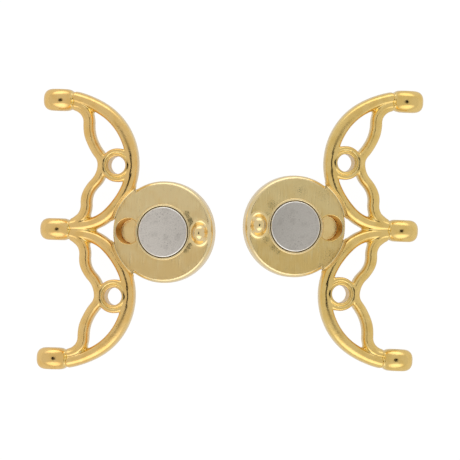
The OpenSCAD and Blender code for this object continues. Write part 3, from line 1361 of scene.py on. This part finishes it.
@dataclass(frozen=True)
class Casting:
    """One cast and plated half: button, wing and seat in one solid.

    Attributes:
        button: the button.
        wing: the wing.
        seat: the seat of the magnet.
        net: what meshes it.
        look_ahead: how far ahead of the skin another part counts as near, for the marks of hollows.
        footing_width: how far the wing keeps the face's level beside the button.
        arm_start: how deep the arms start beside the button.
        arm_edge: the arms' rounding there.
        root_fillet, root_more, root_depth: fillet between arms and button, how much more it is deep down,
            and over which depths it grows.
        face_level: how far from the mating face a brushed face may lie.
        face_tilt: the least upright part of its normal.
        face_past: how far past the cradle it may lie.
    """

    button: Button = Button()
    wing: Wing = Wing()
    seat: Seat = Seat()
    net: SurfaceNet = SurfaceNet()
    quick_net: SurfaceNet = SurfaceNet(fine=0.16, coarse=0.2, back=0.4)
    look_ahead: float = 0.5
    footing_width: float = 0.1
    arm_start: float = 0.3
    arm_edge: float = 0.14
    root_fillet: float = 0.2
    root_more: float = 0.2
    root_depth: tuple[float, float] = (-0.1, -0.7)
    face_level: float = 0.03
    face_tilt: float = 0.94
    face_past: float = 0.05

    def distance(self, x: np.ndarray, y: np.ndarray, z: np.ndarray, plan: WingPlan) -> np.ndarray:
        """The signed distance from the casting.

        Args:
            x: the points' x.
            y: their y.
            z: their z.
            plan: the wing in plan there.

        Returns:
            The distances, below zero inside the metal.
        """
        radius, cradle = np.hypot(x, y), self.button.cradle_radius
        wing = self.wing.distance(x, y, z, plan)
        footing = np.maximum(np.maximum(wing, radius - cradle - self.footing_width), z)
        base = np.minimum(self.button.distance(radius, z), self.button.land(x, radius, z))
        arms = soft_max(wing, -np.maximum(radius - cradle, -self.arm_start - z), self.arm_edge)
        root = self.root_fillet + self.root_more * ramp(z, *self.root_depth)
        solid = soft_min(np.minimum(base, footing), arms, root)
        solid = soft_min(solid, self.seat.boss(x, y, z), self.seat.boss_fillet)
        solid = soft_max(solid, -self.seat.recess(x, y, z), self.seat.recess_edge)
        return np.maximum(solid, -self.seat.pocket(radius, z))

    def at(self, points: np.ndarray) -> np.ndarray:
        """The signed distances of an array of points."""
        x, y, z = points.T
        return self.distance(x, y, z, self.wing.plan(x, y))

    def slope(self, points: np.ndarray, step: float = 0.012) -> np.ndarray:
        """The slope of the signed distance.

        Args:
            points: where.
            step: how far ahead and behind it is measured.

        Returns:
            One row for each point.
        """
        x, y, z = points.T
        plan = self.wing.plan(x, y)
        pairs = [(self.at(points + way), self.at(points - way)) for way in np.eye(3)[:2] * step]
        pairs.append((self.distance(x, y, z + step, plan), self.distance(x, y, z - step, plan)))
        return np.stack([(ahead - behind) / (2 * step) for ahead, behind in pairs], axis=1)

    def shell(self) -> Shell:
        return (self.net).build(self)

    def brushed(self, shell: Shell) -> np.ndarray:
        """Finds the faces of the brushed mating face.

        Args:
            shell: the skin.

        Returns:
            For each face whether it is one of them.
        """
        x, y, z = shell.points[shell.faces].mean(axis=1).T
        up = shell.normals[shell.faces].mean(axis=1)[:, 2]
        level = (np.abs(z) < self.face_level) & (up > self.face_tilt)
        return level & (np.hypot(x, y) < self.button.cradle_radius + self.face_past)

    def build(self, side: Side, place: Matrix, shell: Shell, lathe: Lathe) -> bpy.types.Object:
        """Makes and dresses the casting of one half, with its collar.

        Args:
            side: the half.
            place: where it lies.
            shell: the skin in its own frame.
            lathe: the lathe that turns the collar.

        Returns:
            The object.
        """
        gold = GOLDS[side].material(self)
        collar_mesh = self.seat.collar(lathe, gold)
        mesh = shell.mesh(f"{side.value} casting")
        for finish in (gold, FACES[side].material()):
            mesh.materials.append(finish)
        mesh.polygons.foreach_set("material_index", self.brushed(shell).astype(np.int32))
        # how enclosed each vertex is; the gold's finish paints light into these hollows
        near = self.at(shell.points + shell.normals * self.look_ahead) / self.look_ahead
        marks = {"upright": 1.0 - np.abs(shell.normals[:, 2]), "hollow": np.clip(1.0 - near, 0.0, 1.0)}
        lay_mesh(mesh, place, marks)
        mesh.normals_split_custom_set_from_vertices(shell.normals @ np.array(place.to_3x3().normalized()).T)
        obj = linked(f"{side.value}_casting_look", mesh)
        lay_mesh(collar_mesh, place, {})
        collar_mesh.shade_smooth()
        collar = linked("collar", collar_mesh)
        with bpy.context.temp_override(active_object=obj, selected_editable_objects=[obj, collar]):
            bpy.ops.object.join()
        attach(obj, "root")
        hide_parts(f"{side.value}_casting")
        return obj


# The clasp


@dataclass(frozen=True)
class Lay:
    """How the two halves lie on the table, wings down.

    Attributes:
        apart: distance between the middles of the two magnets along x.
        step: the same along y.
        left_turn: how far the left half is turned, in degrees.
        right_turn: how far the right half is turned, in degrees.
    """

    apart: float = 15.66
    step: float = 0.66
    left_turn: float = -1.6
    right_turn: float = 180.0 - 2.4

    def middle(self, side: Side) -> Vector:
        """Where the middle of a half's magnet lies in plan, before the pair is centred."""
        sign = -1.0 if side is Side.LEFT else 1.0
        return Vector((sign * self.apart / 2, sign * self.step / 2, 0.0))

    def turn(self, side: Side) -> Matrix:
        """The turn of a half about the vertical."""
        degrees = self.left_turn if side is Side.LEFT else self.right_turn
        return Matrix.Rotation(math.radians(degrees), 4, "Z")

    @staticmethod
    def tilt(casting: Casting) -> float:
        """The tilt of a half that rests on its domed back and its eyelets.

        Args:
            casting: the casting.

        Returns:
            The tilt, in radians.
        """
        button, wing = casting.button, casting.wing
        span = math.hypot(wing.eyelet_reach, button.dome_z)
        rise = math.asin((button.dome_radius - wing.eyelet_radius) / span)
        return rise - math.atan2(button.dome_z, wing.eyelet_reach)

    def matrix(self, side: Side, casting: Casting) -> Matrix:
        """Where a half lies.

        Args:
            side: the half.
            casting: the casting.

        Returns:
            The matrix from a half's own frame, in millimetres, to the scene, in metres.
        """
        tilt, wing = self.tilt(casting), casting.wing
        reach = wing.eyelet_reach * math.cos(tilt)
        eyelets = [
            self.middle(half) + self.turn(half) @ Vector((-reach, row * wing.pitch, 0.0))
            for half in Side for row in (-1, 0, 1)]
        ends = [(min(spot[i] for spot in eyelets), max(spot[i] for spot in eyelets)) for i in (0, 1)]
        centre = Vector((sum(ends[0]) / 2, sum(ends[1]) / 2, 0.0))
        rise = Vector((0.0, 0.0, wing.eyelet_reach * math.sin(tilt) + wing.eyelet_radius))
        place = Matrix.Translation(self.middle(side) - centre + rise)
        return Matrix.Scale(MM, 4) @ place @ self.turn(side) @ Matrix.Rotation(-tilt, 4, "Y")


@dataclass(frozen=True)
class Clasp:
    """Both halves of the clasp: the same casting and the same magnet, laid twice."""

    casting: Casting = Casting()
    lay: Lay = Lay()

    def build(self) -> list[bpy.types.Object]:
        """Makes the pieces of both halves.

        Returns:
            The pieces.
        """
        lathe, shell = Lathe(), self.casting.shell()
        pieces = []
        for side in Side:
            place = self.lay.matrix(side, self.casting)
            pieces.append(self.casting.build(side, place, shell, lathe))
            pieces.append(self.casting.seat.magnet.build(side, place, lathe))
        return pieces


# The stage


@dataclass(frozen=True)
class Glow:
    """A soft bright patch of the tent.

    Attributes:
        lean: how far its middle leans from straight above towards the top of the picture, in degrees.
        height: half its height, in degrees.
        width: half its width, as a share of the tent's radius.
        strength: how much brighter than the tent its middle is.
    """

    lean: float
    height: float
    width: float
    strength: float


@dataclass(frozen=True)
class Studio:
    """A white table in a light tent, with the camera in a dark opening straight above.

    Attributes:
        tent: brightness of the tent.
        glows: its bright patches.
        table_reach: half the width of the table.
        camera_height: how high the camera hangs.
        lens: its focal length in millimetres.
        sensor: width of its sensor in millimetres.
        opening_height: how high the dark opening is.
        opening_angle: half the angle that it takes up, in degrees.
        opening_sides: how many sides its outline has.
    """

    tent: float = 0.672
    glows: tuple[Glow, ...] = (
        Glow(lean=79.0, height=24.0, width=0.8, strength=0.9),
        Glow(lean=-55.0, height=27.0, width=0.85, strength=0.8))
    table_reach: float = 2.0
    camera_height: float = 0.7539
    lens: float = 497.0
    sensor: float = 36.0
    opening_height: float = 0.9
    opening_angle: float = 15.0
    opening_sides: int = 64

    def lights(self) -> None:
        """Makes the tent: an even light with soft bright patches."""
        world = bpy.data.worlds.new("tent")
        world.use_nodes = True
        g = Graph(world.node_tree)
        x = g.node("ShaderNodeSeparateXYZ", {0: g.node("ShaderNodeTexCoord", {}, "Generated")})
        lean = g.beside(x, 1).maths("ARCTAN2", g.beside(x, 2))
        light = self.tent
        for glow in self.glows:
            up = (lean - math.radians(glow.lean)) / math.radians(glow.height)
            along = x / glow.width
            light = light + (up * up + along * along).step_up(1.0, 0.1) * glow.strength
        back = next(n for n in world.node_tree.nodes if n.type == "BACKGROUND")
        g.put(back.inputs["Color"], (1.0, 1.0, 1.0, 1.0))
        g.put(back.inputs["Strength"], light)
        bpy.context.scene.world = world

    @staticmethod
    def sheet(name: str, grey: float, glow: float, corners: list[tuple[float, float]],
              height: float) -> bpy.types.Object:
        """Makes a flat sheet of one grey that may glow.

        Args:
            name: its name.
            grey: how light its grey is.
            glow: how strongly it glows.
            corners: its corners in plan.
            height: how high it lies.

        Returns:
            The object.
        """
        g = MaterialGraph(name)
        for label, value in (
                ("Base Color", (grey, grey, grey, 1.0)), ("Roughness", 0.9), ("Specular IOR Level", 0.0),
                ("Emission Color", (1.0, 1.0, 1.0, 1.0)), ("Emission Strength", glow)):
            g.put(g.shader.inputs[label], value)
        mesh = bpy.data.meshes.new(name)
        mesh.from_pydata([(x, y, height) for x, y in corners], [], [list(range(len(corners)))])
        mesh.materials.append(g.material)
        obj = linked(name, mesh)
        return obj

    def camera(self) -> None:
        """Hangs the camera straight above the clasp."""
        lens = bpy.data.cameras.new("camera")
        lens.lens, lens.sensor_width = self.lens, self.sensor
        lens.clip_start, lens.clip_end = 0.05, 10.0
        camera = linked("camera", lens)
        camera.location = (0.0, 0.0, self.camera_height)
        bpy.context.scene.camera = camera

    def build(self) -> None:
        """Makes the tent, the table, the dark opening and the camera."""
        self.lights()
        far = self.table_reach
        square = [(-far, -far), (far, -far), (far, far), (-far, far)]
        white = self.sheet("white_table", grey=0.1, glow=0.96, corners=square, height=0.0)
        white.visible_glossy = white.visible_diffuse = white.visible_shadow = False
        pale = self.sheet("pale_table", grey=0.5, glow=0.38, corners=square, height=-0.0001)
        pale.visible_camera = False
        reach = self.opening_height * math.tan(math.radians(self.opening_angle))
        turns = [-math.tau * i / self.opening_sides for i in range(self.opening_sides)]
        circle = [(reach * math.cos(turn), reach * math.sin(turn)) for turn in turns]
        self.sheet("dark_opening", grey=0.01, glow=0.0, corners=circle, height=self.opening_height)
        self.camera()
        bpy.context.scene.view_settings.view_transform = "Standard"


def main() -> None:
    """Builds the clasp and its stage, and reports each piece."""
    logging.basicConfig(level=logging.INFO, format="%(name)s: %(message)s")
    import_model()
    for piece in Clasp().build():
        LOG.info("%s: %d faces", piece.name, len(piece.data.polygons))
    Studio().build()
    LOG.info("stage: table, tent, dark opening and camera")


if __name__ == "__main__":
    main()
